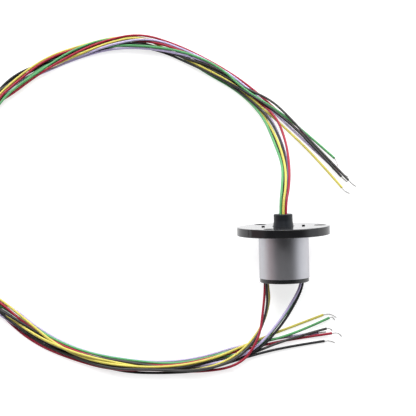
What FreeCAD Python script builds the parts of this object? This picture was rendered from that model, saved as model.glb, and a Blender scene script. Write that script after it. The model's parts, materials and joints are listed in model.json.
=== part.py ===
import FreeCAD, Part
import math
import os

os.makedirs("parts", exist_ok=True)
V = FreeCAD.Vector

# ---------------------------------------------------------------- dimensions, mm
FLANGE_R = 11.0
FLANGE_H = 2.0
HOLE_PCD = 17.5
HOLE_R = 1.45
HOLE_TURN = -5.8
PIP_R = 0.38
PIP_AT = 4.75
PIP_H = 0.26
BODY_R = 5.85
LABEL_T = 0.06
LABEL_S = (-10.1, -0.3)
REGISTER_R = 6.0
LABEL_GAP = 0.35
CAP_R = 5.8
CAP_S = (-11.1, -10.1)
LEAD_HOLE_R = 0.42
LEAD_SLOT = 0.24
EDGE = 0.2
BORE_R = 5.2
WALL_HOLE_R = 2.6

STEM_TOP = 4.9
STEM_R = 2.25
STEM_BASE_R = 2.42
STEM_TAPER = (2.0, 3.3)
STEM_BORE_R = 1.15
STEM_BORE_END = -7.2
SEAT_R = 2.5
BARRIER_R = 2.9
CORE_R = 2.3
RING_R = 2.6
RING_W = 0.6
RING_PITCH = 1.0
RING_1 = -1.3
TAB_W = 0.4
TAB_H = 0.3
TAIL_R = 2.2
JOURNAL_R = 1.5

LEAD_D = 0.60
TIP_D = 0.32
CORE_WIRE_D = 0.32
LEAD_CIRCLE_R = 0.72
ROTOR_LEAD_START = 2.4
STATOR_LEAD_START = -8.4

BRUSH_D = 0.25
BRUSH_TRACK_R = RING_R + BRUSH_D / 2 + 0.035

# the part lies on the flange's rim and the rear cap's edge, so its axis is tilted
ALPHA = math.radians(25.101608713823374)
CENTRE = V(0, 3.01729924, 9.89516942)
PLACE = FreeCAD.Placement(CENTRE, FreeCAD.Rotation(V(1, 0, 0), math.degrees(ALPHA) - 90))
# local frame while building: X = u, Y = -f, Z = s (the spin axis)


def loc(u, s, f):
    return V(u, -f, s)


def revolve(profile):
    """Closed (r, s) outline turned round the spin axis."""
    pts = [V(r, 0, s) for r, s in profile]
    pts.append(pts[0])
    return Part.Face(Part.makePolygon(pts)).revolve(V(0, 0, 0), V(0, 0, 1), 360)


def cyl(r, s0, s1, u=0.0, f=0.0):
    return Part.makeCylinder(r, s1 - s0, loc(u, s0, f), V(0, 0, 1))


made = {}


def save(name, shape, world=False):
    if not world:
        shape = shape.copy()
        shape.Placement = PLACE.multiply(shape.Placement)
    n = len(shape.Solids)
    print("%-24s solids %d valid %s volume %.4f" % (name, n, shape.isValid(), shape.Volume))
    shape.exportStep("parts/%s.step" % name)
    made[name] = shape


def round_edges(shape, radius, test):
    edges = [e for e in shape.Edges if test(e)]
    return shape.makeFillet(radius, edges)


def circle_edge(e, r, s, tol=1e-4):
    c = e.Curve
    return hasattr(c, "Radius") and abs(c.Radius - r) < tol and abs(c.Center.z - s) < tol and abs(c.Center.x) < tol and abs(c.Center.y) < tol


# ---------------------------------------------------------------- housing with its flange
house = revolve([(WALL_HOLE_R, FLANGE_H), (FLANGE_R, FLANGE_H), (FLANGE_R, 0), (REGISTER_R, 0), (REGISTER_R, LABEL_S[1]), (BODY_R, LABEL_S[1]), (BODY_R, CAP_S[1]),
                 (BORE_R, CAP_S[1]), (BORE_R, -1.0), (4.0, -1.0), (4.0, 1.0), (3.5, 1.0), (3.5, 1.25), (WALL_HOLE_R, 1.25)])
for k in range(3):
    t = math.radians(120 * k + HOLE_TURN)
    house = house.cut(cyl(HOLE_R, -1, 3, HOLE_PCD / 2 * math.cos(t), HOLE_PCD / 2 * math.sin(t)))
for sgn in (-1, 1):
    pip = cyl(PIP_R, FLANGE_H - 0.5, FLANGE_H + PIP_H, sgn * PIP_AT, 0)
    pip = round_edges(pip, 0.1, lambda e: e.BoundBox.ZMin > FLANGE_H + PIP_H - 1e-4)
    house = house.fuse(pip)
house = round_edges(house, EDGE, lambda e: circle_edge(e, FLANGE_R, FLANGE_H) or circle_edge(e, FLANGE_R, 0))
house = round_edges(house, 0.1, lambda e: circle_edge(e, WALL_HOLE_R, FLANGE_H))
save("housing_flange", house)

# ---------------------------------------------------------------- foil label, open at its seam behind
label = revolve([(BODY_R, LABEL_S[0]), (BODY_R + LABEL_T, LABEL_S[0]), (BODY_R + LABEL_T, LABEL_S[1]), (BODY_R, LABEL_S[1])])
gap = Part.makeBox(LABEL_GAP, 3, 12, V(-LABEL_GAP / 2, 4.5, -11.5))
label = label.cut(gap)
save("foil_label", label)

# ---------------------------------------------------------------- rear cap
STATOR_EXIT = {"red": (-4.62, 0.1), "grey": (-4.36, 1.25), "yellow": (-3.92, -1.9),
               "lavender": (3.95, 1.5), "black": (4.52, 0.55), "green": (4.45, -0.9)}
cap = revolve([(0, CAP_S[0]), (CAP_R, CAP_S[0]), (CAP_R, CAP_S[1]), (5.15, CAP_S[1]), (5.15, -9.3), (4.6, -9.3), (4.6, CAP_S[1]),
               (3.8, CAP_S[1]), (3.8, -8.5), (3.0, -8.5), (3.0, -10.3), (2.4, -10.3), (2.4, -10.8), (0, -10.8)])
for name, (u, f) in STATOR_EXIT.items():
    cap = cap.cut(cyl(LEAD_HOLE_R, -12, -9, u, f))
    if u > 0:  # these leads bend inwards as they leave, so their holes are slots
        cap = cap.cut(cyl(LEAD_HOLE_R, -12, CAP_S[1], u - LEAD_SLOT, f))
        cap = cap.cut(Part.makeBox(LEAD_SLOT, 2 * LEAD_HOLE_R, 2, loc(u - LEAD_SLOT, CAP_S[1] - 2, f + LEAD_HOLE_R)))
cap = round_edges(cap, EDGE, lambda e: circle_edge(e, CAP_R, CAP_S[0]))
save("rear_cap", cap)

# ---------------------------------------------------------------- rotor shaft, rings, core wires
prof = [(0, -10.65), (JOURNAL_R, -10.65), (JOURNAL_R, -10.47), (1.3, -10.47), (1.3, -10.31), (JOURNAL_R, -10.31), (JOURNAL_R, -8.1),
        (TAIL_R, -8.1), (TAIL_R, -7.3), (BARRIER_R, -7.3)]
for k in range(5, -1, -1):
    hi = RING_1 - k * RING_PITCH
    lo = hi - RING_W
    prof += [(BARRIER_R, lo), (CORE_R, lo), (CORE_R, hi), (BARRIER_R, hi)]
prof += [(BARRIER_R, -1.0), (SEAT_R, -1.0), (SEAT_R, 1.0), (STEM_BASE_R, 1.0), (STEM_BASE_R, STEM_TAPER[0]), (STEM_R, STEM_TAPER[1]),
         (STEM_R, STEM_TOP), (STEM_BORE_R, STEM_TOP), (STEM_BORE_R, STEM_BORE_END), (0, STEM_BORE_END)]
shaft = revolve(prof)
shaft = round_edges(shaft, 0.2, lambda e: circle_edge(e, STEM_R, STEM_TOP) or circle_edge(e, STEM_BORE_R, STEM_TOP))

ROTOR_ANGLE = {"red": 30, "yellow": 90, "green": 150, "black": 210, "grey": 270, "lavender": 330}
RING_ORDER = ["red", "lavender", "grey", "black", "yellow", "green"]
for k, name in enumerate(RING_ORDER):
    hi = RING_1 - k * RING_PITCH
    lo = hi - RING_W
    mid = (hi + lo) / 2
    ring = revolve([(CORE_R, lo), (RING_R, lo), (RING_R, hi), (CORE_R, hi)])
    t = math.radians(ROTOR_ANGLE[name])
    tab = Part.makeBox(CORE_R + 0.1 - 0.5, TAB_W, TAB_H, V(0.5, -TAB_W / 2, mid - TAB_H / 2))
    tab.rotate(V(0, 0, 0), V(0, 0, 1), -math.degrees(t))
    ring = ring.fuse(tab).removeSplitter()
    save("contact_ring_%d" % (k + 1), ring)
    shaft = shaft.cut(tab)
    u, f = LEAD_CIRCLE_R * math.cos(t), LEAD_CIRCLE_R * math.sin(t)
    save("core_wire_" + name, cyl(CORE_WIRE_D / 2, mid + TAB_H / 2, ROTOR_LEAD_START, u, f))
save("rotor_shaft", shaft)

plug = cyl(STEM_BORE_R, ROTOR_LEAD_START, STEM_TOP - 0.25)
for name, ang in ROTOR_ANGLE.items():
    t = math.radians(ang)
    plug = plug.cut(cyl(LEAD_D / 2, 1, 6, LEAD_CIRCLE_R * math.cos(t), LEAD_CIRCLE_R * math.sin(t)))
save("potting_plug", plug)


# ---------------------------------------------------------------- ball bearings
def bearing(tag, bore, outside, s0, s1, ball_r, pitch_r, count, inner_r, outer_r):
    mid = (s0 + s1) / 2
    groove = Part.makeTorus(pitch_r, ball_r + 0.02, V(0, 0, mid), V(0, 0, 1))
    outer = revolve([(outer_r, s0), (outside, s0), (outside, s1), (outer_r, s1)]).cut(groove)
    inner = revolve([(bore, s0), (inner_r, s0), (inner_r, s1), (bore, s1)]).cut(groove)
    cage = revolve([(pitch_r - 0.08, mid - 0.5 * ball_r), (pitch_r + 0.08, mid - 0.5 * ball_r), (pitch_r + 0.08, mid + 0.5 * ball_r), (pitch_r - 0.08, mid + 0.5 * ball_r)])
    cage.rotate(V(0, 0, 0), V(0, 0, 1), 180 / count)
    for k in range(count):
        ball = Part.makeSphere(ball_r)
        ball.translate(V(pitch_r, 0, mid))
        ball.rotate(V(0, 0, 0), V(0, 0, 1), 360 * k / count)
        cage = cage.fuse(ball)
    save(tag + "_bearing_outer", outer)
    save(tag + "_bearing_inner", inner)
    save(tag + "_bearing_balls", cage.removeSplitter())


bearing("front", SEAT_R, 4.0, -1.0, 1.0, 0.40, 3.25, 11, 2.95, 3.55)
bearing("rear", JOURNAL_R, 3.0, -10.3, -8.3, 0.40, 2.25, 8, 1.95, 2.55)

washer = revolve([(JOURNAL_R, -8.3), (1.95, -8.3), (1.95, -8.1), (JOURNAL_R, -8.1)])
save("shim_washer", washer)
clip = revolve([(1.3, -10.47), (2.0, -10.47), (2.0, -10.31), (1.3, -10.31)])
wedge = Part.makeBox(1.6, 3, 1, V(-0.8, 0, -11))
clip = clip.cut(wedge)
save("retaining_clip", clip)

# ---------------------------------------------------------------- brush boards and brushes
for side, sgn in (("left", -1), ("right", 1)):
    board = Part.makeBox(0.5, 4.0, 7.1, V(4.2, -2.0, -8.4))
    foot = Part.makeBox(1.4, 4.3, 0.4, V(3.65, -2.05, -8.4)).common(cyl(5.1, -9, -7))
    foot = foot.cut(cyl(3.7, -9, -7))
    board = board.fuse(foot).removeSplitter()
    if sgn < 0:
        board = board.mirror(V(0, 0, 0), V(1, 0, 0))
        board = board.mirror(V(0, 0, 0), V(0, 1, 0))
    save("brush_board_" + side, board)


def rod(points, d):
    """Bent wire: straight pieces with a ball at each bend."""
    out = None
    for a, b in zip(points[:-1], points[1:]):
        w = b.sub(a)
        c = Part.makeCylinder(d / 2, w.Length, a, w)
        out = c if out is None else out.fuse(c)
    for p in points[1:-1]:
        out = out.fuse(Part.makeSphere(d / 2, p))
    return out.removeSplitter()


def tangent_point(px, py, r):
    """Where the line from (px, py) grazes the circle r, on the far side from the axis."""
    d = math.hypot(px, py)
    a = math.acos(r / d)
    b = math.atan2(py, px)
    return r * math.cos(b + a), r * math.sin(b + a)


BRUSH_U = 4.2 - BRUSH_D / 2
BRUSH_F = 1.6
tx, ty = tangent_point(BRUSH_U, BRUSH_F, BRUSH_TRACK_R)
lx, ly = tx - BRUSH_U, ty - BRUSH_F
ll = math.hypot(lx, ly)
ex, ey = tx + lx / ll * 1.2, ty + ly / ll * 1.2
for k in range(6):
    mid = RING_1 - k * RING_PITCH - RING_W / 2
    sg = -1 if k % 2 == 0 else 1
    pts = [V(sg * ex, -ey, mid), V(sg * BRUSH_U, -BRUSH_F, mid), V(sg * BRUSH_U, BRUSH_F, mid), V(sg * ex, ey, mid)]
    save("brush_%d" % (k + 1), rod(pts, BRUSH_D))


# ---------------------------------------------------------------- leads
def lead_tube(points, d, name):
    """Straight runs joined by tangent arcs, each arc as large as its two runs allow."""
    P = [V(*p) for p in points]
    edges, radii, length = [], [], 0.0
    prev = P[0]
    for i in range(1, len(P) - 1):
        a, b = P[i].sub(P[i - 1]), P[i + 1].sub(P[i])
        la, lb = a.Length, b.Length
        a, b = a.multiply(1 / la), b.multiply(1 / lb)
        turn = a.getAngle(b)
        t = 0.45 * min(la, lb)
        r = t / math.tan(turn / 2)
        A, B = P[i].sub(V(a).multiply(t)), P[i].add(V(b).multiply(t))
        n = b.sub(a)
        n.normalize()
        C = P[i].add(V(n).multiply(r / math.cos(turn / 2)))
        M = C.sub(V(n).multiply(r))
        edges.append(Part.LineSegment(prev, A).toShape())
        edges.append(Part.Arc(A, M, B).toShape())
        length += A.sub(prev).Length + r * turn
        radii.append(r)
        prev = B
    edges.append(Part.LineSegment(prev, P[-1]).toShape())
    length += P[-1].sub(prev).Length
    path = Part.Wire(edges)
    start = P[1].sub(P[0])
    ring = Part.Wire([Part.Circle(P[0], start, d / 2).toShape()])
    tube = path.makePipeShell([ring], True, False)
    want = math.pi * d * d / 4 * length
    print("%-24s length %.2f least radius %.2f (%.1f d) volume %.4f of %.4f = %.5f" % (name, length, min(radii), min(radii) / d, tube.Volume, want, tube.Volume / want))
    return tube


# routes of the leads, mm, in the part's own frame
ROTOR_LEADS = {
    "black": [
        (-0.624, 5.343, 10.587), (-0.624, 9.781, 12.666), (0.582, 14.394, 11.551), (1.708, 21.068, 8.404), (1.087, 29.269, 4.934),
        (-1.796, 37.813, 2.357), (-8.499, 44.545, 1.15), (-15.571, 51.032, 0.065), (-22.491, 57.964, 1.35), (-31.971, 59.035, 2.38),
        (-41.51, 61.131, 1.509), (-51.379, 58.595, 0.694), (-60.413, 56.053, 0.213), (-69.037, 50.18, 0.848), (-73.219, 42.936, 1.185),
        (-74.293, 32.31, 0.647), (-82.044, 27.076, 0.334), (-87.049, 33.78, 0.369), (-80.844, 40.938, 1.021), (-72.979, 45.063, 1.747),
        (-66.778, 52.178, 1.495), (-57.215, 56.172, 1.028), (-47.986, 58.864, 1.126), (-38.682, 60.331, 0.315), (-28.914, 58.233, 0.413),
        (-20.891, 53.213, 1.018), (-12.601, 47.697, 1.969), (-4.171, 42.625, 2.483), (3.184, 36.256, 1.994), (9.632, 28.905, 1.39),
        (15.67, 21.224, 1.024),
    ],
    "grey": [
        (-0, 5.496, 10.261), (-0, 9.933, 12.34), (0.903, 14.935, 10.353), (1.21, 21.722, 6.584), (-0.162, 30.167, 2.872),
        (-2.919, 39.118, 0.323), (-7.216, 46.787, 0.337), (-14.684, 52.332, 1.928), (-24.165, 55.373, 1.885), (-31.984, 60.153, 0.503),
        (-42.196, 60.924, 0.355), (-51.025, 57.982, 0.346), (-60.224, 55.337, 0.35), (-68.04, 49.403, 1.037), (-74.032, 42.727, 2.909),
        (-73.515, 32.09, 2.394), (-79.29, 24.645, 0.928), (-87.427, 26.294, 0.24), (-88.336, 36.047, 0.566), (-80.197, 41.346, 1.808),
        (-72.85, 45.532, 2.629), (-65.441, 51.241, 1.596), (-57.448, 55.751, 0.505), (-47.435, 57.639, 0.406), (-38.048, 60.034, 1.354),
        (-28.626, 61.435, 0.821), (-21.62, 55.079, 0.852), (-13.696, 50.531, 1.495), (-7.018, 46.703, 1.657), (-0.915, 42.734, 1.858),
        (3.797, 37.342, 1.734), (8.195, 31.573, 1.186), (12.844, 25.941, 1.008), (17.376, 20.237, 1.016),
    ],
    "red": [
        (0.624, 5.038, 11.239), (0.624, 9.475, 13.318), (1.759, 14.077, 12.246), (2.383, 20.847, 8.953), (2.125, 29.443, 4.953),
        (0.041, 38.361, 2.041), (-6.776, 44.841, 0.852), (-13.801, 51.412, 0.709), (-21.463, 56.64, 2.093), (-29.887, 60.127, 2.705),
        (-39.66, 61.38, 1.055), (-49.024, 60.237, 0.473), (-57.921, 56.953, 1.731), (-64.899, 50.333, 2.419), (-72.002, 43.263, 2.574),
        (-72.053, 33.246, 2.336), (-77.311, 25.393, 1.997), (-85.446, 27.177, 1.62), (-84.719, 36.192, 1.599), (-75.803, 40.764, 1.991),
        (-67.939, 44.89, 1.479), (-60.627, 51.569, 1.888), (-52.225, 56.289, 2.65), (-43.685, 60.938, 2.11), (-34.215, 63.417, 0.978),
        (-25.07, 60.835, 0.348), (-16.781, 55.961, 0.33), (-9.035, 50.552, 0.33), (-2.61, 43.898, 0.33), (3.485, 36.884, 0.33),
        (9.736, 29.885, 0.33), (15.701, 22.667, 0.33),
    ],
    "yellow": [
        (0, 4.885, 11.565), (0, 9.322, 13.644), (0.961, 13.961, 12.611), (1.393, 20.666, 9.401), (0.326, 29.093, 5.147),
        (-2.276, 37.287, 1.734), (-7.623, 44.827, 0.33), (-14.071, 50.838, 0.33), (-21.482, 57.527, 0.33), (-29.673, 61.945, 0.343),
        (-39.876, 63.071, 0.348), (-49.032, 60.919, 0.364), (-58.1, 57.661, 1.319), (-65.593, 51.27, 2.561), (-72.295, 44.298, 2.68),
        (-72.993, 34.526, 1.697), (-77.808, 27.217, 1.196), (-85.253, 29.068, 1.127), (-83.892, 38.102, 0.67), (-74.682, 41.799, 0.315),
        (-67.574, 46.864, 0.397), (-59.877, 53.154, 1.203), (-51.456, 56.034, 1.939), (-42.666, 59.808, 2.529), (-34.016, 62.399, 2.114),
        (-25.725, 57.122, 0.793), (-17.738, 52.014, 1.516), (-9.82, 46.623, 1.47), (-2.832, 40.175, 1.469), (3.851, 33.416, 0.924),
        (10.096, 26.221, 0.503), (15.713, 18.541, 0.33),
    ],
    "green": [
        (-0.624, 5.038, 11.239), (-0.624, 9.475, 13.318), (0.071, 14.316, 12.4), (0.754, 21.047, 9.109), (-0.854, 29.292, 5.101),
        (-3.228, 38.129, 1.913), (-9.111, 44.831, 0.318), (-17.371, 50.635, 0.342), (-24.448, 57.26, 0.419), (-33.789, 61.201, 0.268),
        (-42.451, 62.587, 0.981), (-52.049, 58.582, 1.718), (-59.458, 52.775, 2.468), (-67.796, 46.513, 2.695), (-72.592, 39.465, 1.674),
        (-72.704, 29.513, 0.589), (-81.372, 24.674, 0.245), (-87.982, 30.017, 0.786), (-84.586, 38.623, 1.534), (-74.791, 41.81, 1.861),
        (-66.557, 46.986, 1.686), (-60.145, 54.045, 1.61), (-50.697, 57.452, 1.104), (-41.731, 59.412, 1.624), (-31.662, 58.781, 2.847),
        (-22.259, 57.063, 2.962), (-13.478, 52.537, 2.825), (-7.46, 45.473, 2.024), (0.492, 40.055, 1.285), (7.648, 33.531, 0.59),
        (14.372, 26.566, 0.33),
    ],
    "lavender": [
        (0.624, 5.343, 10.587), (0.624, 9.781, 12.666), (1.556, 14.748, 11.25), (2.199, 21.428, 7.615), (1.244, 30.033, 3.26),
        (-1.306, 38.57, 0.305), (-6.42, 46.672, 0.355), (-13.174, 53.124, 0.76), (-22.018, 58.277, 1.56), (-31.1, 61.448, 2.896),
        (-40.944, 59.546, 2.659), (-49.971, 56.291, 1.24), (-59.166, 54.137, 0.695), (-68.001, 48.867, 1.3), (-72.893, 41.571, 0.931),
        (-73.28, 31.48, 0.428), (-80.774, 26.065, 0.35), (-87.53, 30.746, 0.35), (-84.505, 40.037, 0.35), (-74.085, 42.363, 0.35),
        (-68.349, 49.318, 0.35), (-59.4, 52.741, 0.347), (-50.723, 56.029, 0.492), (-41.424, 58.668, 1.362), (-32.044, 58.505, 2.056),
        (-22.435, 56.166, 2.595), (-13.617, 52.467, 1.941), (-6.311, 46.694, 0.909), (-0.052, 39.517, 0.325), (6.325, 32.319, 0.335),
        (12.76, 25.202, 0.52),
    ],
}
STATOR_LEADS = {
    "black": [
        (4.52, -4.823, 6.83), (4.52, -7.539, 5.557), (2.853, -11.202, 3.474), (-1.079, -17.111, 1.975), (-7.388, -23.673, 1.276),
        (-15.966, -23.953, 0.679), (-25.465, -27, 2.185), (-35.09, -27.029, 1.828), (-44.432, -25.369, 1.238), (-53.085, -21.194, 0.917),
        (-60.797, -15.922, 2.56), (-68.894, -10.854, 3.1), (-77.694, -6.448, 2.447), (-87.066, -4.091, 1.203), (-95.278, 2.439, 0.342),
        (-103.937, 2.734, 0.335), (-105.904, -4.077, 0.326), (-97.338, -7.787, 0.457), (-88.368, -2.449, 0.271), (-79.861, -1.713, 0.589),
        (-71.272, -7.558, 2.029), (-65.294, -14.767, 2.372), (-57.073, -19.858, 0.78), (-48.239, -24.044, 0.39), (-38.923, -27.26, 0.293),
        (-29.103, -28.42, 0.598), (-19.651, -27.331, 1.396), (-10.23, -24.16, 0.952), (-0.693, -21.767, 0.529), (9.042, -20.481, 0.33),
    ],
    "grey": [
        (-4.36, -5.12, 7.464), (-4.36, -8.47, 5.894), (-4.12, -12.437, 3.334), (-6.363, -19.279, 2.712), (-12.422, -25.747, 2.483),
        (-22.078, -27.861, 2.534), (-31.4, -27.414, 2.628), (-41.06, -26.878, 2.067), (-50.04, -23.911, 1.126), (-58.507, -19.994, 0.433),
        (-65.62, -13.41, 0.304), (-71.405, -6.019, 0.393), (-79.758, -1.229, 0.312), (-88.772, -1.172, 0.861), (-96.304, 6.05, 1.12),
        (-105.708, 5.623, 0.772), (-110.272, -2.511, 0.359), (-104.914, -10.669, 0.329), (-95.441, -10.41, 0.331),
        (-87.976, -4.514, 0.504), (-78.934, -7.092, 0.866), (-69.901, -9.378, 1.478), (-62.53, -14.45, 1.426), (-55.834, -20.849, 1.767),
        (-46.227, -23.06, 1.888), (-36.843, -24.943, 1.998), (-27.185, -26.704, 1.251), (-17.755, -26.446, 0.396),
        (-8.844, -23.178, 0.277), (0.274, -20.016, 1.275), (9.648, -17.618, 0.914),
    ],
    "red": [
        (-4.62, -4.632, 6.422), (-4.62, -7.982, 4.853), (-5.177, -12.827, 3.774), (-6.431, -20.355, 3.498), (-11.112, -26.321, 1.78),
        (-21.206, -27.609, 0.193), (-30.824, -26.942, 0.524), (-41.044, -26.954, 1.244), (-50.449, -24.527, 0.744),
        (-59.322, -20.326, 0.328), (-66.445, -13.556, 0.332), (-72.694, -5.626, 0.328), (-82.133, -3.196, 1.325), (-90.927, -0.922, 2.838),
        (-99.344, 4.515, 2.118), (-107.525, -0.138, 1.136), (-105.063, -7.867, 0.729), (-95.643, -9.367, 1.199), (-86.939, -2.84, 2.085),
        (-78.016, -3.912, 2.257), (-69.132, -8.141, 2.508), (-62.116, -13.996, 1.631), (-54.811, -19.612, 0.96), (-45.385, -23.071, 1.165),
        (-36.361, -25.121, 0.983), (-26.889, -25.604, 1.212), (-17.436, -23.325, 1.235), (-7.95, -21.728, 0.629), (1.381, -19.708, 0.152),
        (10.853, -18.803, 0.833),
    ],
    "yellow": [
        (-3.92, -3.783, 4.611), (-3.92, -7.134, 3.042), (-3.518, -10.779, 2.454), (-5.625, -17.469, 1.867), (-11.952, -24.253, 2.288),
        (-20.874, -27.455, 1.906), (-30.339, -27.05, 1.038), (-39.591, -25.094, 2.067), (-48.948, -23.106, 3.371), (-57.8, -19.425, 3.057),
        (-65.328, -13.284, 1.519), (-73.447, -7.907, 0.244), (-82.32, -4.181, 1.273), (-90.743, -0.355, 0.855), (-98.781, 5.418, 0.327),
        (-107.019, 1.023, 0.333), (-104.54, -6.216, 0.929), (-95.578, -6.237, 1.467), (-87, 0.387, 1.749), (-77.838, -2.467, 1.467),
        (-68.685, -7.595, 1.7), (-61.194, -13.799, 2.177), (-54.125, -20.92, 2.585), (-45.503, -24.669, 2.431), (-36.146, -26.567, 2.4),
        (-26.518, -26.106, 2.156), (-17.14, -23.909, 1.972), (-8.367, -20.539, 1.3), (0.349, -17.22, 0.476), (9.121, -14.034, 0.33),
    ],
    "green": [
        (4.45, -4.208, 5.517), (4.45, -6.924, 4.244), (2.722, -10.633, 2.917), (-1.682, -16.548, 1.789), (-7.521, -22.943, 1.235),
        (-16.309, -23.34, 0.231), (-25.492, -25.891, 0.477), (-35.407, -24.636, 0.357), (-45.057, -23.746, 0.328),
        (-53.934, -19.844, 0.333), (-62.118, -14.243, 0.33), (-69.157, -7.544, 0.33), (-77.086, -0.881, 0.33), (-86.718, -0.402, 0.33),
        (-94.448, 4.862, 0.33), (-103.681, 6.005, 0.33), (-109.623, -1.796, 0.33), (-104.797, -9.887, 0.331), (-95.613, -9.642, 0.329),
        (-87.781, -3.445, 0.549), (-78.654, -6.534, 1.296), (-69.401, -8.651, 1.284), (-62.197, -13.464, 0.945), (-54.289, -19.079, 0.756),
        (-45.375, -22.331, 0.944), (-35.967, -24.442, 1.105), (-26.517, -24.939, 0.472), (-17.082, -22.849, 0.254),
        (-7.616, -20.843, 0.765), (1.777, -18.941, 1.212), (10.467, -14.947, 0.773),
    ],
    "lavender": [
        (3.95, -5.226, 7.69), (3.95, -7.942, 6.417), (2.168, -11.044, 4.053), (-2.111, -16.93, 2.585), (-8.254, -23.245, 2.204),
        (-17.24, -25.403, 0.761), (-26.847, -26.409, 0.277), (-36.71, -25.607, 0.413), (-46.528, -24.107, 0.311),
        (-55.449, -19.719, 0.442), (-64.463, -15.302, 1.242), (-71.735, -9.017, 2.177), (-79.491, -3.079, 3.287), (-88.815, -1.258, 2.586),
        (-96.702, 5.723, 1.367), (-106.125, 3.439, 0.502), (-108.26, -4.929, 0.318), (-100.304, -10.386, 0.345), (-91.663, -5.058, 0.329),
        (-83.625, -2.516, 0.331), (-73.81, -7.211, 1.134), (-65.809, -8.567, 1.025), (-58.322, -15.939, 0.439), (-49.702, -20.217, 0.327),
        (-40.467, -23.438, 0.333), (-30.97, -24.414, 0.33), (-21.365, -23.134, 0.331), (-11.792, -20.855, 0.33), (-2.043, -19.394, 0.33),
        (7.751, -18.469, 0.33),
    ],
}
ROTOR_TIPS = {
    "black": [
        (15.67, 21.224, 1.024), (16.132, 20.797, 0.769), (16.628, 20.568, 0.265), (17.208, 20.074, 0.22),
    ],
    "grey": [
        (17.376, 20.237, 1.016), (17.912, 19.682, 0.745), (18.548, 19.309, 0.246), (19.338, 18.863, 0.2),
    ],
    "red": [
        (15.701, 22.667, 0.33), (16.174, 22.167, 0.317), (16.836, 21.845, 0.238), (17.482, 21.534, 0.2),
    ],
    "yellow": [
        (15.713, 18.541, 0.33), (16.163, 17.835, 0.307), (16.85, 17.373, 0.209), (17.651, 17.033, 0.2),
    ],
    "green": [
        (14.372, 26.566, 0.33), (14.75, 26.005, 0.32), (14.841, 25.163, 0.359), (15.183, 24.419, 0.4),
    ],
    "lavender": [
        (12.76, 25.202, 0.52), (13.21, 24.693, 0.469), (13.571, 24.11, 0.229), (13.942, 23.48, 0.2),
    ],
}
STATOR_TIPS = {
    "black": [
        (9.042, -20.481, 0.33), (9.91, -20.413, 0.302), (10.787, -20.559, 0.209), (11.588, -20.936, 0.2),
    ],
    "grey": [
        (9.648, -17.618, 0.914), (10.174, -17.528, 0.824), (10.651, -17.674, 0.477), (11.06, -17.955, 0.25),
    ],
    "red": [
        (10.853, -18.803, 0.833), (11.764, -18.659, 0.857), (12.609, -18.842, 0.494), (13.238, -19.499, 0.22),
    ],
    "yellow": [
        (9.121, -14.034, 0.33), (10.217, -13.797, 0.309), (11.437, -14.084, 0.215), (12.304, -14.872, 0.2),
    ],
    "green": [
        (10.467, -14.947, 0.773), (11.016, -14.695, 0.688), (11.491, -14.881, 0.312), (11.815, -15.452, 0.2),
    ],
    "lavender": [
        (7.751, -18.469, 0.33), (8.365, -18.419, 0.324), (8.965, -18.325, 0.223), (9.577, -18.244, 0.2),
    ],
}

for name, pts in ROTOR_LEADS.items():
    save("rotor_lead_" + name, lead_tube(pts, LEAD_D, "rotor_lead_" + name), world=True)
for name, pts in STATOR_LEADS.items():
    save("stator_lead_" + name, lead_tube(pts, LEAD_D, "stator_lead_" + name), world=True)
for name, pts in ROTOR_TIPS.items():
    save("rotor_tip_" + name, lead_tube(pts, TIP_D, "rotor_tip_" + name), world=True)
for name, pts in STATOR_TIPS.items():
    save("stator_tip_" + name, lead_tube(pts, TIP_D, "stator_tip_" + name), world=True)

box = None
whole = None
for name, shape in made.items():
    b = shape.BoundBox
    whole = FreeCAD.BoundBox(b) if whole is None else whole
    whole.add(b)
    if "lead" in name or "tip" in name:
        continue
    box = FreeCAD.BoundBox(b) if box is None else box
    box.add(b)
print("files", len(made))
print("object box  x %.3f %.3f  y %.3f %.3f  z %.3f %.3f" % (box.XMin, box.XMax, box.YMin, box.YMax, box.ZMin, box.ZMax))
print("whole box   x %.3f %.3f  y %.3f %.3f  z %.3f %.3f" % (whole.XMin, whole.XMax, whole.YMin, whole.YMax, whole.ZMin, whole.ZMax))
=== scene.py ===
import bpy
import json
import math
from mathutils import Vector, Matrix, noise


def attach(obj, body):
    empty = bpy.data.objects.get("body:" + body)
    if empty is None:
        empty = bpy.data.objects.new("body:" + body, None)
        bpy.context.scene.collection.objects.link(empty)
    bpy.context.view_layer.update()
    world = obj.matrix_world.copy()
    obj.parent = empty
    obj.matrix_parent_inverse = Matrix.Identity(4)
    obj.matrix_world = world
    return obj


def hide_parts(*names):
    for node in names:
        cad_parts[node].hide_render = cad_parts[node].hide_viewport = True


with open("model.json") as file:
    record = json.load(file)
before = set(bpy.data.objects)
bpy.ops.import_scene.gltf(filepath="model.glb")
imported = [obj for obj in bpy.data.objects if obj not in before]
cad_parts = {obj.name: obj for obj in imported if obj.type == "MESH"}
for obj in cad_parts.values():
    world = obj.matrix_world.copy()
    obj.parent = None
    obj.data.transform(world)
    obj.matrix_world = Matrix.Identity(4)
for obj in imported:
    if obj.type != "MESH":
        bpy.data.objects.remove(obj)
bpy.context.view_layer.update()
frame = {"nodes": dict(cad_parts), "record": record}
MM = 0.001
scene = bpy.context.scene

# ------------------------------------------------------------------ local frame of the ring
ALPHA = math.radians(25.101608713823374)
AXIS = Vector((0, math.cos(ALPHA), math.sin(ALPHA)))
FRONT = Vector((0, -math.sin(ALPHA), math.cos(ALPHA)))
SIDE = Vector((1, 0, 0))
CENTRE = Vector((0, 3.01729924, 9.89516942))


def W(u, s, f):
    """Point at u across, s along the spin axis, f towards the viewer, in metres."""
    return (CENTRE + u * SIDE + s * AXIS + f * FRONT) * MM


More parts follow.
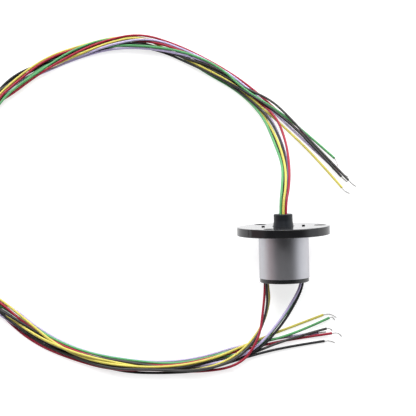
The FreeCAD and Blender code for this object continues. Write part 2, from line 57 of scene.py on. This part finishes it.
# ------------------------------------------------------------------ camera
ELEV, ROLL, DIST, FOV = math.radians(68.37943370900238), math.radians(1.5136745151868634), 290.0, math.radians(19.38777474769297)
look = Vector((0, -math.cos(ELEV), math.sin(ELEV)))
target = CENTRE + Vector((-17.643796139273608, 7.2597938781158895, 0))
x0 = Vector((1, 0, 0))
y0 = look.cross(x0)
cx = math.cos(ROLL) * x0 - math.sin(ROLL) * y0
cy = math.sin(ROLL) * x0 + math.cos(ROLL) * y0
cam_data = bpy.data.cameras.new("camera")
cam = bpy.data.objects.new("camera", cam_data)
scene.collection.objects.link(cam)
rot = Matrix((cx, cy, look)).transposed()
cam.matrix_world = Matrix.Translation((target + DIST * look) * MM) @ rot.to_4x4()
cam_data.sensor_fit = "HORIZONTAL"
cam_data.angle = FOV
cam_data.clip_start = 0.01
cam_data.clip_end = 20
scene.camera = cam

# ------------------------------------------------------------------ routes of the leads, mm: the same points as the solids'
ROTOR_LEADS = {
    "black": [
        (-0.624, 5.343, 10.587), (-0.624, 9.781, 12.666), (0.582, 14.394, 11.551), (1.71, 21.067, 8.416), (1.078, 29.267, 4.988),
        (-1.875, 37.867, 2.502), (-8.605, 45.349, 1.258), (-15.599, 51.942, 0.332), (-22.394, 57.541, 1.181), (-31.844, 59.04, 1.94),
        (-41.462, 61.218, 1.36), (-51.403, 58.532, 0.721), (-60.422, 55.626, 0.42), (-69.01, 49.581, 0.843), (-73.176, 42.429, 0.963),
        (-74.281, 32.315, 0.557), (-82.043, 27.073, 0.32), (-87.05, 33.781, 0.392), (-80.846, 40.939, 0.96), (-72.946, 44.224, 1.499),
        (-66.773, 52.184, 1.405), (-57.183, 55.957, 1.056), (-47.969, 58.962, 0.858), (-38.719, 60.575, 0.268), (-28.999, 58.517, 0.366),
        (-20.963, 53.783, 1.014), (-12.604, 48.509, 1.985), (-4.133, 42.459, 2.383), (3.202, 36.276, 1.984), (9.632, 28.905, 1.39),
        (15.67, 21.224, 1.024),
    ],
    "grey": [
        (-0, 5.496, 10.261), (-0, 9.933, 12.34), (0.903, 14.935, 10.353), (1.208, 21.72, 6.591), (-0.155, 30.172, 2.944),
        (-2.836, 39.409, 0.754), (-7.083, 46.525, 0.583), (-14.574, 52.234, 1.746), (-24.138, 56.001, 1.601), (-32.003, 60.145, 0.466),
        (-42.204, 61.163, 0.307), (-51.013, 58.165, 0.313), (-60.214, 54.911, 0.443), (-68.033, 48.762, 1.241), (-74.072, 42.413, 2.431),
        (-73.556, 32.2, 2.079), (-79.294, 24.639, 0.93), (-87.425, 26.294, 0.279), (-88.334, 36.044, 0.613), (-80.207, 41.374, 1.724),
        (-72.88, 44.712, 2.345), (-65.491, 50.914, 1.681), (-57.446, 55.601, 0.608), (-47.405, 58.325, 0.436), (-37.978, 60.33, 1.138),
        (-28.609, 61.293, 0.724), (-21.674, 55.456, 0.659), (-13.735, 50.74, 1.384), (-7.061, 45.998, 1.638), (-0.919, 42.711, 1.672),
        (3.797, 37.341, 1.659), (8.195, 31.574, 1.206), (12.844, 25.941, 1.008), (17.376, 20.237, 1.016),
    ],
    "red": [
        (0.624, 5.038, 11.239), (0.624, 9.475, 13.318), (1.759, 14.077, 12.246), (2.384, 20.847, 8.937), (2.127, 29.441, 4.986),
        (0.018, 38.363, 2.082), (-6.906, 44.937, 0.994), (-13.933, 51.668, 0.767), (-21.472, 56.447, 1.814), (-29.836, 59.997, 2.175),
        (-39.648, 61.604, 0.989), (-49.071, 60.069, 0.66), (-57.96, 56.422, 1.653), (-64.917, 50.157, 2.285), (-71.999, 43.033, 2.396),
        (-72.053, 33.247, 2.277), (-77.311, 25.392, 1.982), (-85.446, 27.177, 1.637), (-84.717, 36.19, 1.603), (-75.799, 40.754, 1.754),
        (-67.986, 45.497, 1.354), (-60.696, 51.502, 1.646), (-52.337, 56.615, 2.239), (-43.745, 60.926, 1.872), (-34.21, 63.434, 0.963),
        (-25.017, 60.176, 0.475), (-16.726, 55.471, 0.31), (-9.009, 49.939, 0.31), (-2.597, 43.798, 0.31), (3.486, 36.886, 0.312),
        (9.736, 29.885, 0.33), (15.701, 22.667, 0.33),
    ],
    "yellow": [
        (0, 4.885, 11.565), (0, 9.322, 13.644), (0.961, 13.961, 12.611), (1.393, 20.666, 9.363), (0.326, 29.093, 5.169),
        (-2.281, 37.282, 1.795), (-7.625, 45.328, 0.322), (-14.031, 51.37, 0.306), (-21.431, 57.272, 0.318), (-29.678, 61.736, 0.306),
        (-39.902, 63.136, 0.327), (-49.061, 60.642, 0.536), (-58.11, 57.025, 1.429), (-65.568, 50.672, 2.381), (-72.234, 43.643, 2.2),
        (-72.991, 35.068, 1.502), (-77.805, 27.22, 1.177), (-85.254, 29.069, 1.073), (-83.889, 38.097, 0.651), (-74.657, 41.721, 0.292),
        (-67.561, 47.21, 0.331), (-59.824, 52.974, 0.983), (-51.384, 56.579, 1.689), (-42.593, 60.141, 2.167), (-33.975, 62.162, 1.736),
        (-25.749, 57.484, 0.676), (-17.82, 52.57, 1.324), (-9.86, 47.289, 1.64), (-2.892, 40.198, 1.567), (3.844, 33.409, 0.964),
        (10.096, 26.221, 0.503), (15.713, 18.541, 0.33),
    ],
    "green": [
        (-0.624, 5.038, 11.239), (-0.624, 9.475, 13.318), (0.071, 14.316, 12.4), (0.755, 21.051, 9.106), (-0.857, 29.279, 5.134),
        (-3.251, 38.298, 2.036), (-9.126, 46.176, 0.365), (-17.429, 51.702, 0.293), (-24.582, 57.485, 0.357), (-33.985, 61.139, 0.272),
        (-42.575, 62.478, 0.979), (-52.085, 58.348, 1.722), (-59.448, 52.694, 2.238), (-67.767, 46.543, 2.292), (-72.58, 39.68, 1.335),
        (-72.701, 29.51, 0.561), (-81.373, 24.674, 0.287), (-87.982, 30.016, 0.784), (-84.586, 38.628, 1.441), (-74.793, 41.843, 1.516),
        (-66.566, 47.367, 1.52), (-60.111, 53.766, 1.413), (-50.637, 57.71, 1.087), (-41.669, 59.853, 1.408), (-31.637, 58.816, 2.282),
        (-22.271, 56.615, 2.581), (-13.507, 51.993, 2.572), (-7.474, 45.356, 1.997), (0.491, 40.055, 1.241), (7.648, 33.531, 0.59),
        (14.372, 26.566, 0.33),
    ],
    "lavender": [
        (0.624, 5.343, 10.587), (0.624, 9.781, 12.666), (1.556, 14.748, 11.25), (2.198, 21.427, 7.582), (1.244, 30.026, 3.346),
        (-1.28, 38.577, 0.63), (-6.375, 46.167, 0.209), (-13.181, 52.666, 0.593), (-22.075, 57.64, 1.428), (-31.181, 61.1, 2.489),
        (-40.998, 59.866, 2.273), (-49.949, 56.942, 1.088), (-59.059, 54.09, 0.661), (-67.87, 48.546, 1.071), (-72.818, 41.449, 0.735),
        (-73.289, 32.213, 0.397), (-80.773, 26.065, 0.33), (-87.53, 30.746, 0.33), (-84.514, 40.047, 0.328), (-74.135, 42.168, 0.309),
        (-68.413, 48.949, 0.311), (-59.453, 52.804, 0.309), (-50.734, 56.743, 0.428), (-41.394, 59.173, 1.05), (-31.986, 58.55, 1.652),
        (-22.302, 56.043, 2.157), (-13.378, 52.184, 1.825), (-6.15, 46.135, 0.978), (-0.029, 39.532, 0.355), (6.325, 32.319, 0.335),
        (12.76, 25.202, 0.52),
    ],
}
STATOR_LEADS = {
    "black": [
        (4.52, -4.823, 6.83), (4.52, -7.539, 5.557), (2.853, -11.202, 3.474), (-1.097, -17.099, 1.952), (-7.518, -23.498, 1.13),
        (-16.142, -24.317, 0.84), (-25.568, -26.854, 1.899), (-35.105, -26.478, 1.658), (-44.362, -25.025, 1.154),
        (-52.958, -20.797, 1.019), (-60.67, -15.753, 2.274), (-68.839, -10.78, 2.79), (-77.69, -6.447, 2.327), (-87.068, -4.093, 1.229),
        (-95.279, 2.439, 0.388), (-103.937, 2.734, 0.305), (-105.904, -4.077, 0.316), (-97.338, -7.787, 0.396), (-88.366, -2.449, 0.282),
        (-79.861, -1.703, 0.645), (-71.323, -7.52, 1.738), (-65.479, -14.239, 2.134), (-57.267, -19.034, 0.854), (-48.424, -23.406, 0.417),
        (-39.091, -26.661, 0.263), (-29.152, -27.304, 0.5), (-19.633, -27.162, 1.187), (-10.188, -24.171, 0.941), (-0.693, -21.767, 0.529),
        (9.042, -20.481, 0.33),
    ],
    "grey": [
        (-4.36, -5.12, 7.464), (-4.36, -8.47, 5.894), (-4.12, -12.437, 3.334), (-6.366, -19.293, 2.287), (-12.41, -25.496, 2.233),
        (-22.053, -27.544, 2.29), (-31.378, -26.778, 2.389), (-41.094, -26.397, 1.947), (-50.159, -23.067, 1.212),
        (-58.686, -19.068, 0.558), (-65.726, -13.194, 0.31), (-71.438, -6.051, 0.31), (-79.759, -1.231, 0.338), (-88.771, -1.17, 0.825),
        (-96.304, 6.05, 1.061), (-105.708, 5.623, 0.757), (-110.272, -2.511, 0.372), (-104.914, -10.669, 0.304), (-95.442, -10.411, 0.319),
        (-87.978, -4.515, 0.505), (-78.918, -7.083, 0.866), (-69.794, -9.331, 1.316), (-62.428, -14.541, 1.414), (-55.945, -20.023, 1.735),
        (-46.313, -23.168, 1.755), (-36.805, -24.783, 1.739), (-27.039, -26.443, 1.217), (-17.6, -26.474, 0.507), (-8.754, -23.278, 0.41),
        (0.274, -20.016, 1.275), (9.648, -17.618, 0.914),
    ],
    "red": [
        (-4.62, -4.632, 6.422), (-4.62, -7.982, 4.853), (-5.177, -12.827, 3.774), (-6.426, -20.361, 3.071), (-11.089, -26.351, 1.647),
        (-21.086, -27.252, 0.208), (-30.713, -26.33, 0.445), (-40.992, -26.391, 1.062), (-50.581, -23.361, 0.624),
        (-59.541, -19.195, 0.306), (-66.551, -13.199, 0.314), (-72.707, -5.68, 0.427), (-82.132, -3.199, 1.376), (-90.926, -0.92, 2.651),
        (-99.344, 4.516, 2.103), (-107.525, -0.138, 1.16), (-105.063, -7.867, 0.759), (-95.643, -9.367, 1.205), (-86.939, -2.84, 2.018),
        (-78.016, -3.912, 2.203), (-69.122, -8.17, 2.222), (-62.081, -14.361, 1.5), (-54.766, -19.367, 0.878), (-45.341, -23.231, 0.95),
        (-36.355, -24.924, 0.845), (-26.937, -25.853, 0.994), (-17.542, -24.013, 1.068), (-8.015, -21.671, 0.565), (1.381, -19.708, 0.152),
        (10.853, -18.803, 0.833),
    ],
    "yellow": [
        (-3.92, -3.783, 4.611), (-3.92, -7.134, 3.042), (-3.518, -10.779, 2.454), (-5.632, -17.475, 1.862), (-12.034, -24.361, 2.032),
        (-21.049, -27.373, 1.649), (-30.514, -26.536, 0.985), (-39.695, -24.945, 1.9), (-48.999, -22.83, 3.036), (-57.859, -18.725, 2.721),
        (-65.389, -13.095, 1.333), (-73.459, -7.911, 0.304), (-82.316, -4.183, 1.127), (-90.74, -0.356, 0.846), (-98.781, 5.418, 0.351),
        (-107.019, 1.023, 0.349), (-104.54, -6.216, 0.899), (-95.579, -6.237, 1.435), (-87.003, 0.386, 1.69), (-77.832, -2.463, 1.492),
        (-68.598, -7.711, 1.784), (-60.984, -14.361, 2.202), (-53.93, -20.548, 2.389), (-45.413, -24.467, 2.185),
        (-36.111, -26.034, 2.155), (-26.507, -26.22, 1.967), (-17.146, -24.473, 1.72), (-8.362, -20.561, 1.043), (0.349, -17.22, 0.476),
        (9.121, -14.034, 0.33),
    ],
    "green": [
        (4.45, -4.208, 5.517), (4.45, -6.924, 4.244), (2.722, -10.633, 2.917), (-1.689, -16.548, 1.82), (-7.519, -22.845, 1.108),
        (-16.266, -23.874, 0.302), (-25.385, -25.872, 0.318), (-35.294, -24.522, 0.309), (-44.986, -23.5, 0.311), (-53.896, -19.579, 0.31),
        (-62.103, -14.316, 0.31), (-69.154, -7.605, 0.31), (-77.087, -0.88, 0.312), (-86.718, -0.403, 0.312), (-94.448, 4.862, 0.312),
        (-103.681, 6.005, 0.312), (-109.623, -1.796, 0.312), (-104.797, -9.887, 0.308), (-95.613, -9.641, 0.325), (-87.783, -3.447, 0.584),
        (-78.667, -6.56, 1.198), (-69.418, -8.724, 1.197), (-62.101, -13.874, 0.901), (-54.161, -19.029, 0.765), (-45.311, -22.526, 0.918),
        (-35.971, -24.282, 1.059), (-26.538, -25.305, 0.644), (-17.077, -23.549, 0.38), (-7.562, -20.848, 0.659), (1.777, -18.941, 1.212),
        (10.467, -14.947, 0.773),
    ],
    "lavender": [
        (3.95, -5.226, 7.69), (3.95, -7.942, 6.417), (2.168, -11.044, 4.053), (-2.109, -16.942, 2.57), (-8.243, -23.263, 1.942),
        (-17.264, -25.567, 0.881), (-26.862, -26.252, 0.297), (-36.684, -25.265, 0.325), (-46.483, -23.683, 0.299),
        (-55.447, -19.301, 0.445), (-64.533, -14.741, 1.169), (-71.783, -9.074, 2.053), (-79.498, -3.084, 3.122), (-88.814, -1.256, 2.562),
        (-96.701, 5.724, 1.387), (-106.125, 3.439, 0.525), (-108.26, -4.929, 0.303), (-100.304, -10.386, 0.318), (-91.665, -5.059, 0.305),
        (-83.627, -2.513, 0.367), (-73.798, -7.181, 1.026), (-65.742, -9.405, 0.979), (-58.281, -15.985, 0.443), (-49.668, -20.725, 0.303),
        (-40.483, -23.259, 0.318), (-31.007, -24.545, 0.31), (-21.411, -24.036, 0.31), (-11.823, -21.259, 0.31), (-2.043, -19.394, 0.33),
        (7.751, -18.469, 0.33),
    ],
}
ROTOR_TIPS = {
    "black": [
        (15.67, 21.224, 1.024), (16.132, 20.797, 0.769), (16.628, 20.568, 0.265), (17.208, 20.074, 0.22),
    ],
    "grey": [
        (17.376, 20.237, 1.016), (17.912, 19.682, 0.745), (18.548, 19.309, 0.246), (19.338, 18.863, 0.2),
    ],
    "red": [
        (15.701, 22.667, 0.33), (16.174, 22.167, 0.317), (16.836, 21.845, 0.238), (17.482, 21.534, 0.2),
    ],
    "yellow": [
        (15.713, 18.541, 0.33), (16.163, 17.835, 0.307), (16.85, 17.373, 0.209), (17.651, 17.033, 0.2),
    ],
    "green": [
        (14.372, 26.566, 0.33), (14.75, 26.005, 0.32), (14.841, 25.163, 0.359), (15.183, 24.419, 0.4),
    ],
    "lavender": [
        (12.76, 25.202, 0.52), (13.21, 24.693, 0.469), (13.571, 24.11, 0.229), (13.942, 23.48, 0.2),
    ],
}
STATOR_TIPS = {
    "black": [
        (9.042, -20.481, 0.33), (9.91, -20.413, 0.302), (10.787, -20.559, 0.209), (11.588, -20.936, 0.2),
    ],
    "grey": [
        (9.648, -17.618, 0.914), (10.174, -17.528, 0.824), (10.651, -17.674, 0.477), (11.06, -17.955, 0.25),
    ],
    "red": [
        (10.853, -18.803, 0.833), (11.764, -18.659, 0.857), (12.609, -18.842, 0.494), (13.238, -19.499, 0.22),
    ],
    "yellow": [
        (9.121, -14.034, 0.33), (10.217, -13.797, 0.309), (11.437, -14.084, 0.215), (12.304, -14.872, 0.2),
    ],
    "green": [
        (10.467, -14.947, 0.773), (11.016, -14.695, 0.688), (11.491, -14.881, 0.312), (11.815, -15.452, 0.2),
    ],
    "lavender": [
        (7.751, -18.469, 0.33), (8.365, -18.419, 0.324), (8.965, -18.325, 0.223), (9.577, -18.244, 0.2),
    ],
}

LEAD_D, TIP_D = 0.60, 0.32


# ------------------------------------------------------------------ materials
def nodes_of(name):
    m = bpy.data.materials.new(name)
    m.use_nodes = True
    nt = m.node_tree
    nt.nodes.clear()
    out = nt.nodes.new("ShaderNodeOutputMaterial")
    b = nt.nodes.new("ShaderNodeBsdfPrincipled")
    nt.links.new(b.outputs["BSDF"], out.inputs["Surface"])
    return m, nt, b


def tex(nt, kind, scale, detail=3.0, rough=0.5, stretch=None):
    """Noise in the object's own coordinates; scale is features per metre."""
    tc = nt.nodes.new("ShaderNodeTexCoord")
    src = tc.outputs["Object"]
    if stretch is not None:
        mp = nt.nodes.new("ShaderNodeMapping")
        mp.inputs["Rotation"].default_value = stretch[1]
        mp.inputs["Scale"].default_value = stretch[0]
        nt.links.new(src, mp.inputs["Vector"])
        src = mp.outputs["Vector"]
    n = nt.nodes.new(kind)
    n.inputs["Scale"].default_value = scale
    if "Detail" in n.inputs:
        n.inputs["Detail"].default_value = detail
    if "Roughness" in n.inputs:
        n.inputs["Roughness"].default_value = rough
    nt.links.new(src, n.inputs["Vector"])
    return n.outputs["Fac"] if "Fac" in n.outputs else n.outputs["Distance"]


def span(nt, fac, lo, hi, a=0.3, b=0.7):
    r = nt.nodes.new("ShaderNodeMapRange")
    r.inputs["From Min"].default_value = a
    r.inputs["From Max"].default_value = b
    r.inputs["To Min"].default_value = lo
    r.inputs["To Max"].default_value = hi
    nt.links.new(fac, r.inputs["Value"])
    return r.outputs["Result"]


def ramp(nt, fac, stops):
    r = nt.nodes.new("ShaderNodeValToRGB")
    e = r.color_ramp.elements
    while len(e) < len(stops):
        e.new(0.5)
    for el, (p, c) in zip(e, stops):
        el.position = p
        el.color = (*c, 1)
    nt.links.new(fac, r.inputs["Fac"])
    return r.outputs["Color"]


def bump(nt, b, height, strength, dist):
    bp = nt.nodes.new("ShaderNodeBump")
    bp.inputs["Strength"].default_value = strength
    bp.inputs["Distance"].default_value = dist
    nt.links.new(height, bp.inputs["Height"])
    nt.links.new(bp.outputs["Normal"], b.inputs["Normal"])
    return bp


def shade(c, k):
    return tuple(max(0.0, min(1.0, v * k)) for v in c)


def plastic(name, col, r_lo, r_hi, grain=2500.0, grain_mm=0.004, strength=0.25, vary=0.12, vary_scale=180.0, ior=1.5, coat=0.0, coat_rough=0.1):
    m, nt, b = nodes_of(name)
    big = tex(nt, "ShaderNodeTexNoise", vary_scale, 4.0)
    nt.links.new(ramp(nt, big, [(0.3, shade(col, 1 - vary)), (0.7, shade(col, 1 + vary))]), b.inputs["Base Color"])
    fine = tex(nt, "ShaderNodeTexNoise", grain, 3.0, 0.6)
    nt.links.new(span(nt, fine, r_lo, r_hi), b.inputs["Roughness"])
    bump(nt, b, fine, strength, grain_mm * MM)
    b.inputs["IOR"].default_value = ior
    if coat:
        b.inputs["Coat Weight"].default_value = coat
        b.inputs["Coat Roughness"].default_value = coat_rough
    return m


def metal(name, col, r_lo, r_hi, grain=4000.0, stretch=None, strength=0.15, grain_mm=0.003, vary=0.06, body=1.0):
    m, nt, b = nodes_of(name)
    big = tex(nt, "ShaderNodeTexNoise", grain / 12, 3.0)
    nt.links.new(ramp(nt, big, [(0.3, shade(col, 1 - vary)), (0.7, shade(col, 1 + vary))]), b.inputs["Base Color"])
    b.inputs["Metallic"].default_value = body
    fine = tex(nt, "ShaderNodeTexNoise", grain, 4.0, 0.6, stretch)
    nt.links.new(span(nt, fine, r_lo, r_hi), b.inputs["Roughness"])
    bump(nt, b, fine, strength, grain_mm * MM)
    return m


# the turn that lays a texture's Z along the spin axis
TURN = (math.radians(90) - ALPHA, 0, 0)

MAT = {
    "housing_black": plastic("housing_black", (0.0115, 0.0115, 0.0125), 0.07, 0.13, grain=1400, grain_mm=0.0015, strength=0.12, vary=0.15, vary_scale=300),
    "cap_black": plastic("cap_black", (0.012, 0.0135, 0.0135), 0.24, 0.36, grain=5200, grain_mm=0.004, strength=0.3),
    "stem_black": plastic("stem_black", (0.010, 0.0125, 0.016), 0.34, 0.48, grain=5200, grain_mm=0.005, strength=0.35, vary=0.25, vary_scale=700, ior=1.38),
    "potting_black": plastic("potting_black", (0.008, 0.008, 0.009), 0.12, 0.25, grain=1800, grain_mm=0.012, strength=0.5),
    "contact_gold": metal("contact_gold", (0.86, 0.62, 0.24), 0.16, 0.30, stretch=((1, 1, 30), TURN)),
    "board_green": plastic("board_green", (0.02, 0.17, 0.06), 0.28, 0.45, grain=3500, grain_mm=0.006),
    "bearing_steel": metal("bearing_steel", (0.62, 0.62, 0.64), 0.10, 0.22, stretch=((1, 1, 25), TURN)),
    "spring_steel": metal("spring_steel", (0.50, 0.50, 0.53), 0.25, 0.40),
    "tinned_wire": metal("tinned_wire", (0.62, 0.615, 0.60), 0.45, 0.65, grain=9000, body=0.35),
    "label_silver": metal("label_silver", (0.49, 0.49, 0.515), 0.40, 0.48, grain=2600, stretch=((1, 1, 0.06), TURN), strength=0.08, grain_mm=0.002, vary=0.03),
}
LEAD_COLOUR = {
    "black": (0.014, 0.014, 0.015),
    "grey": (0.045, 0.043, 0.040),
    "red": (0.330, 0.009, 0.032),
    "yellow": (0.600, 0.525, 0.100),
    "green": (0.095, 0.340, 0.125),
    "lavender": (0.480, 0.420, 0.640),
}
for c, col in LEAD_COLOUR.items():
    MAT["lead_" + c] = plastic("lead_" + c, col, 0.30, 0.42, grain=6500, grain_mm=0.006, strength=0.3, vary=0.08, vary_scale=220, ior=1.40)


# ------------------------------------------------------------------ leads: one smooth spline each
def spline(name, pts, radius, res, sides):
    cu = bpy.data.curves.new(name, "CURVE")
    cu.dimensions = "3D"
    cu.resolution_u = res
    sp = cu.splines.new("NURBS")
    sp.points.add(len(pts) - 1)
    for p, q in zip(sp.points, pts):
        p.co = (q[0] * MM, q[1] * MM, q[2] * MM, 1)
    sp.order_u = 3
    sp.use_endpoint_u = True
    sp.resolution_u = res
    cu.bevel_depth = radius * MM
    cu.bevel_resolution = sides
    cu.use_fill_caps = radius > 0
    ob = bpy.data.objects.new(name, cu)
    scene.collection.objects.link(ob)
    return ob


def line_of(pts, res):
    """The points along a bare spline."""
    ob = spline("line", pts, 0, res, 0)
    me = bpy.data.meshes.new_from_object(ob)
    out = [v.co.copy() for v in me.vertices]
    cu = ob.data
    bpy.data.objects.remove(ob)
    bpy.data.curves.remove(cu)
    bpy.data.meshes.remove(me)
    return out


def frames(path):
    """A tangent and two crosswise directions at each point, without twist."""
    n = len(path)
    out = []
    a = None
    for i in range(n):
        t = (path[min(i + 1, n - 1)] - path[max(i - 1, 0)]).normalized()
        if a is None:
            a = t.orthogonal().normalized()
        a = (a - a.dot(t) * t).normalized()
        out.append((t, a, t.cross(a)))
    return out


def strands(name, pts, seed):
    """A stripped end: seven fine strands, one in the middle and six laid round it, a little open at the cut."""
    path = line_of(pts, 14)
    fr = frames(path)
    n = len(path)
    run = [0.0]
    for i in range(1, n):
        run.append(run[-1] + (path[i] - path[i - 1]).length)
    total = run[-1]
    r = 0.052 * MM
    verts, faces = [], []
    K = 6
    for k in range(7):
        base = len(verts)
        cut = 1.0 - 0.05 * ((k * 7 + seed * 3) % 4) / 3
        m = 0
        for i in range(n):
            t = run[i] / total
            if t > cut:
                break
            tan, a, b = fr[i]
            if k == 0:
                c = path[i].copy()
            else:
                ang = math.radians(60 * k) + 2 * math.pi * run[i] / (3.4 * MM)
                open_ = 0.106 * MM * (1 + 0.30 * max(0, (t - 0.55) / 0.45) ** 1.5 * (0.6 + 0.4 * math.sin(k * 2.1 + seed)))
                c = path[i] + open_ * (math.cos(ang) * a + math.sin(ang) * b)
            low = r + 0.02 * MM
            if c.z < low:
                c.z = low
            for q in range(K):
                w = 2 * math.pi * q / K
                verts.append(c + r * (math.cos(w) * a + math.sin(w) * b))
            m += 1
        for i in range(m - 1):
            for q in range(K):
                p, p2 = base + i * K + q, base + i * K + (q + 1) % K
                faces.append((p, p2, p2 + K, p + K))
        faces.append(tuple(base + q for q in range(K))[::-1])
        faces.append(tuple(base + (m - 1) * K + q for q in range(K)))
    me = bpy.data.meshes.new(name)
    me.from_pydata([tuple(v) for v in verts], [], faces)
    me.polygons.foreach_set("use_smooth", [len(p.vertices) == 4 for p in me.polygons])
    me.update()
    ob = bpy.data.objects.new(name, me)
    scene.collection.objects.link(ob)
    return ob


seed = 0
for side, leads, tips in (("rotor", ROTOR_LEADS, ROTOR_TIPS), ("stator", STATOR_LEADS, STATOR_TIPS)):
    for c, pts in leads.items():
        seed += 1
        tip = strands("%s_strands_%s" % (side, c), tips[c], seed)
        tip.data.materials.append(MAT["tinned_wire"])
        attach(tip, side)
        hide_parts("%s_tip_%s" % (side, c))
        ob = spline("%s_wire_%s" % (side, c), pts, LEAD_D / 2, 16, 4)
        ob.data.materials.append(MAT["lead_" + c])
        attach(ob, side)
        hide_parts("%s_lead_%s" % (side, c))

# ------------------------------------------------------------------ materials on the CAD pieces
SLOT = {s["node"]: s["material_slot"] for s in frame["record"]["subparts"]}
for name, ob in frame["nodes"].items():
    slot = SLOT.get(name)
    if slot in MAT:
        for i in range(len(ob.material_slots)):
            ob.material_slots[i].material = MAT[slot]

# ------------------------------------------------------------------ floor, light
bpy.ops.mesh.primitive_plane_add(size=4, location=(0, 0, 0))
floor = bpy.context.object
floor.name = "floor"
m, nt, b = nodes_of("floor")
soft = tex(nt, "ShaderNodeTexNoise", 3.0, 2.0)
nt.links.new(ramp(nt, soft, [(0.3, (0.42, 0.42, 0.42)), (0.7, (0.44, 0.44, 0.44))]), b.inputs["Base Color"])
b.inputs["Roughness"].default_value = 0.9
b.inputs["Specular IOR Level"].default_value = 0.0
b.inputs["Emission Color"].default_value = (1.0, 1.0, 1.0, 1.0)
b.inputs["Emission Strength"].default_value = 0.74
floor.data.materials.append(m)

world = bpy.data.worlds.new("studio")
scene.world = world
world.use_nodes = True
nt = world.node_tree
nt.nodes.clear()
out = nt.nodes.new("ShaderNodeOutputWorld")
bg = nt.nodes.new("ShaderNodeBackground")
tc = nt.nodes.new("ShaderNodeTexCoord")


def toward(direction, a, b, lo, hi):
    """lo away from a direction, hi in it, soft between the two angles (degrees)."""
    d = nt.nodes.new("ShaderNodeVectorMath")
    d.operation = "DOT_PRODUCT"
    d.inputs[1].default_value = Vector(direction).normalized()
    nt.links.new(tc.outputs["Generated"], d.inputs[0])
    r = nt.nodes.new("ShaderNodeMapRange")
    r.interpolation_type = "SMOOTHSTEP"
    r.inputs["From Min"].default_value = math.cos(math.radians(b))
    r.inputs["From Max"].default_value = math.cos(math.radians(a))
    r.inputs["To Min"].default_value = lo
    r.inputs["To Max"].default_value = hi
    nt.links.new(d.outputs["Value"], r.inputs["Value"])
    return r.outputs["Result"]


def total(parts):
    """Sum of grey levels, each with its own tint."""
    acc = None
    for val, tint in parts:
        m = nt.nodes.new("ShaderNodeVectorMath")
        m.operation = "SCALE"
        m.inputs[0].default_value = tint
        if isinstance(val, float):
            m.inputs["Scale"].default_value = val
        else:
            nt.links.new(val, m.inputs["Scale"])
        if acc is None:
            acc = m.outputs["Vector"]
        else:
            s = nt.nodes.new("ShaderNodeVectorMath")
            nt.links.new(acc, s.inputs[0])
            nt.links.new(m.outputs["Vector"], s.inputs[1])
            acc = s.outputs["Vector"]
    return acc


def times(x, y):
    m = nt.nodes.new("ShaderNodeMath")
    m.operation = "MULTIPLY"
    nt.links.new(x, m.inputs[0])
    nt.links.new(y, m.inputs[1])
    return m.outputs["Value"]


hole = toward(look, 38, 54, 1.0, 0.15)
room = toward((0, 1, 0.5), 40, 120, 0.18, 0.75)
sky = total([
    (times(hole, room), (1.0, 1.0, 1.03)),
    (toward((1, 0, 0.10), 12, 37, 0.0, 0.88), (0.97, 1.0, 1.04)),
    (toward((-1, 0, 0.05), 14, 42, 0.0, 0.10), (2.4, 0.9, 0.9)),
    (toward((0, 0.9, 0.45), 18, 58, 0.0, 1.35), (0.96, 0.985, 1.05)),
])
nt.links.new(sky, bg.inputs["Color"])
bg.inputs["Strength"].default_value = 1.0
nt.links.new(bg.outputs["Background"], out.inputs["Surface"])

for place, power, size in (((-0.322, 0.364, 0.462), 2.2, 0.36), ((0.322, 0.364, 0.462), 2.0, 0.36), ((0.0, 0.10, 0.62), 0.9, 0.30)):
    data = bpy.data.lights.new("softbox", "AREA")
    data.shape = "DISK"
    data.size = size
    data.energy = power
    ob = bpy.data.objects.new("softbox", data)
    scene.collection.objects.link(ob)
    ob.location = Vector(place) + Vector((-0.03, 0.01, 0))
    ob.rotation_euler = (Vector((-0.03, 0.01, 0)) - ob.location).to_track_quat("-Z", "Y").to_euler()

scene.view_settings.view_transform = "Standard"
scene.view_settings.look = "None"
scene.view_settings.exposure = 0.0
scene.view_settings.gamma = 1.0
